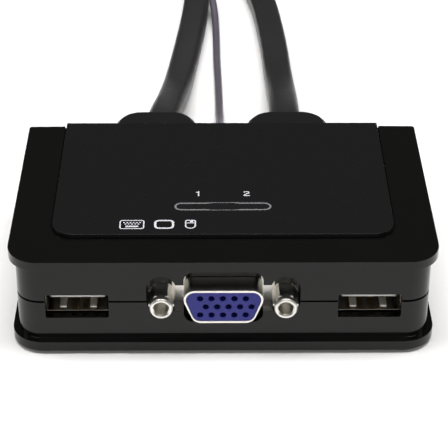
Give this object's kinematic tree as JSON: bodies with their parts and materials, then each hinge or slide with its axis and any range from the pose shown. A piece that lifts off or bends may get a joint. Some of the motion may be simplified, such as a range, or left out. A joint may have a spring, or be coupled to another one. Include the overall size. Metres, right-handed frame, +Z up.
{
  "type": "KVM switch",
  "caption": "Small glossy black desktop KVM switch box with front video and USB sockets, captive rear computer leads and a wired selector button.",
  "frame": {"origin": "on the floor under the middle of the casing, counting the jack nuts", "axes": "+X to the right seen from the connector face, +Y to the rear where the leads leave, +Z up"},
  "size_m": [0.124, 0.2666, 0.0482],
  "materials": {
    "cover_gloss": "glossy black casing",
    "panel_satin": "satin black panel",
    "lens_clear": "smoked clear",
    "led_clear": "clear epoxy",
    "board_green": "solder mask",
    "socket_metal": "bright nickel",
    "insert_blue": "moulded",
    "contact_gold": "gold flash",
    "tongue_white": "moulded",
    "usb_metal": "nickel",
    "spring_metal": "satin nickel",
    "chip_black": "epoxy",
    "can_metal": "satin",
    "header_cream": "nylon",
    "screw_steel": "zinc black",
    "foot_rubber": "matt",
    "boot_black": "satin PVC",
    "cord_black": "satin PVC",
    "cord_grey": "satin PVC",
    "strap_black": "woven hook and loop",
    "tie_black": "coated wire",
    "hood_black": "moulded PVC",
    "selector_black": "gloss",
    "button_grey": "satin"
  },
  "bodies": {
    "casing": {"top_cover": "cover_gloss", "lower_case": "cover_gloss", "cover_panel": "panel_satin", "led_window": "lens_clear", "status_leds": "led_clear", "circuit_board": "board_green", "video_socket_shell": "socket_metal", "video_socket_insert": "insert_blue", "video_socket_contacts": "contact_gold", "jack_nuts": "socket_metal", "usb_socket_left": "usb_metal", "usb_tongue_left": "tongue_white", "usb_socket_right": "usb_metal", "usb_tongue_right": "tongue_white", "usb_springs": "spring_metal", "usb_contacts": "contact_gold", "switch_chip": "chip_black", "support_chips": "chip_black", "crystal": "can_metal", "capacitors": "can_metal", "lead_headers": "header_cream", "case_screws": "screw_steel", "rubber_feet": "foot_rubber", "lead_boot_left": "boot_black", "lead_boot_right": "boot_black", "wire_grommet": "boot_black", "lead_left": "cord_black", "lead_right": "cord_black", "lead_coil_left": "cord_black", "lead_coil_right": "cord_black", "coil_strap": "strap_black", "video_hood_left": "hood_black", "video_shell_left": "socket_metal", "video_core_left": "insert_blue", "usb_tail_left": "cord_black", "usb_grip_left": "hood_black", "usb_plug_left": "socket_metal", "usb_core_left": "tongue_white", "video_hood_right": "hood_black", "video_shell_right": "socket_metal", "video_core_right": "insert_blue", "usb_tail_right": "cord_black", "usb_grip_right": "hood_black", "usb_plug_right": "socket_metal", "usb_core_right": "tongue_white", "selector_wire": "cord_grey", "wire_coil": "cord_grey", "wire_tie": "tie_black", "selector_base": "selector_black", "selector_cover": "selector_black", "selector_switch": "chip_black"},
    "button": {"selector_button": "button_grey", "switch_plunger": "header_cream"},
    "screw_left_a": {"thumbscrew_left_a": "hood_black"},
    "screw_left_b": {"thumbscrew_left_b": "hood_black"},
    "screw_right_a": {"thumbscrew_right_a": "hood_black"},
    "screw_right_b": {"thumbscrew_right_b": "hood_black"}
  },
  "joints": [
    {"name": "button_press", "type": "slide", "parent": "casing", "child": "button", "axis": [0, 0, -1], "range_m": [0, 0.0008], "stiffness_N_per_m": 500},
    {"name": "screw_left_a_turn", "type": "hinge", "parent": "casing", "child": "screw_left_a", "pos_m": [0.0595, 0.2315, 0.033], "axis": [1, 0, 0], "continuous": true},
    {"name": "screw_left_b_turn", "type": "hinge", "parent": "casing", "child": "screw_left_b", "pos_m": [0.0595, 0.2065, 0.033], "axis": [1, 0, 0], "continuous": true},
    {"name": "screw_right_a_turn", "type": "hinge", "parent": "casing", "child": "screw_right_a", "pos_m": [0.0045, 0.1545, 0.028], "axis": [-1, 0, 0], "continuous": true},
    {"name": "screw_right_b_turn", "type": "hinge", "parent": "casing", "child": "screw_right_b", "pos_m": [0.0045, 0.1795, 0.028], "axis": [-1, 0, 0], "continuous": true}
  ]
}
